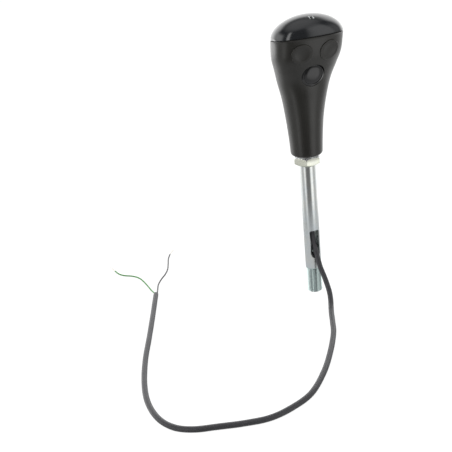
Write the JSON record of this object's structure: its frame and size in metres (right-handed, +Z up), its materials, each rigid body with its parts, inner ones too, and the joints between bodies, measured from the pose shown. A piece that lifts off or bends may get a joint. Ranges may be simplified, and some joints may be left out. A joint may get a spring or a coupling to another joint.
{
  "type": "lever knob with push buttons",
  "caption": "Black lever knob with push buttons on a drilled, threaded steel stem, with a lock nut and a thin switch cable out of a slot near the stem's foot.",
  "frame": {"origin": "centre of the lever stem's lower end face", "axes": "+Z up the stem to the knob; the buttons, the emblem and the cable slot face -Y; +X is to the right of someone who faces the buttons"},
  "size_m": [0.241, 0.3368, 0.2854],
  "materials": {
    "zinc_plate": "bright zinc plating, turned bar",
    "insert_steel": "plain turned steel",
    "grip_plastic": "satin black moulded plastic",
    "cap_plastic": "polished black plastic",
    "seal_rubber": "soft black seal",
    "emblem_metal": "dark satin ring",
    "emblem_face": "plain gloss black disc",
    "button_plastic": "black plastic, fine satin",
    "spring_steel": "drawn spring wire",
    "carrier_nylon": "natural nylon",
    "screw_zinc": "zinc-plated screws",
    "switch_black": "black switch housing",
    "switch_red": "red switch cover",
    "plunger_nylon": "white plunger",
    "contact_copper": "rolled copper alloy strip",
    "terminal_brass": "stamped brass",
    "tie_nylon": "natural nylon",
    "cable_pvc": "dark grey PVC sheath",
    "wire_green": "green PVC insulation",
    "wire_black": "black PVC insulation",
    "tinned_copper": "tinned copper strands"
  },
  "bodies": {
    "housing": {"lever_stem": "zinc_plate", "lock_nut": "zinc_plate", "knob_insert": "insert_steel", "grip_body": "grip_plastic", "cap": "cap_plastic", "cap_seal": "seal_rubber", "emblem_ring": "emblem_metal", "emblem_disc": "emblem_face", "return_spring_right": "spring_steel", "return_spring_left": "spring_steel", "switch_carrier": "carrier_nylon", "carrier_screws": "screw_zinc", "switch_housing_right": "switch_black", "switch_housing_left": "switch_black", "switch_cover_right": "switch_red", "switch_cover_left": "switch_red", "switch_terminals_right": "terminal_brass", "switch_terminals_left": "terminal_brass", "cable_riser": "cable_pvc", "cable_tie": "tie_nylon", "inner_lead_green": "wire_green", "inner_lead_black": "wire_black", "link_lead_green": "wire_green", "link_lead_black": "wire_black", "cable_sheath": "cable_pvc", "wire_green": "wire_green", "wire_black": "wire_black", "strands_green": "tinned_copper", "strands_black": "tinned_copper"},
    "button_right": {"button_right": "button_plastic"},
    "plunger_right": {"switch_plunger_right": "plunger_nylon"},
    "blade_right": {"contact_blade_right": "contact_copper"},
    "button_left": {"button_left": "button_plastic"},
    "plunger_left": {"switch_plunger_left": "plunger_nylon"},
    "blade_left": {"contact_blade_left": "contact_copper"}
  },
  "joints": [
    {"name": "button_right_press", "type": "slide", "parent": "housing", "child": "button_right", "axis": [-0.1815, 0.9336, 0.309], "range_m": [0, 0.0025], "stiffness_N_per_m": 900, "springref_m": -0.0008, "deforming": ["return_spring_right"]},
    {"name": "plunger_right_slide", "type": "slide", "parent": "housing", "child": "plunger_right", "axis": [-0.1815, 0.9336, 0.309], "range_m": [0, 0.00155]},
    {"name": "blade_right_bend", "type": "hinge", "parent": "housing", "child": "blade_right", "pos_m": [0.00869, -0.01226, 0.25299], "axis": [-0.9816, -0.1908, 0], "range_deg": [0, 10.3]},
    {"name": "button_left_press", "type": "slide", "parent": "housing", "child": "button_left", "axis": [0.1815, 0.9336, 0.309], "range_m": [0, 0.0025], "stiffness_N_per_m": 900, "springref_m": -0.0008, "deforming": ["return_spring_left"]},
    {"name": "plunger_left_slide", "type": "slide", "parent": "housing", "child": "plunger_left", "axis": [0.1815, 0.9336, 0.309], "range_m": [0, 0.00155]},
    {"name": "blade_left_bend", "type": "hinge", "parent": "housing", "child": "blade_left", "pos_m": [-0.00869, -0.01226, 0.25299], "axis": [-0.9816, 0.1908, 0], "range_deg": [0, 10.3]}
  ],
  "couplings": [
    {"joint": "plunger_right_slide", "follows": "button_right_press", "ratio": 0.6},
    {"joint": "blade_right_bend", "follows": "button_right_press", "rad_per_m": 70},
    {"joint": "plunger_left_slide", "follows": "button_left_press", "ratio": 0.6},
    {"joint": "blade_left_bend", "follows": "button_left_press", "rad_per_m": 70}
  ]
}
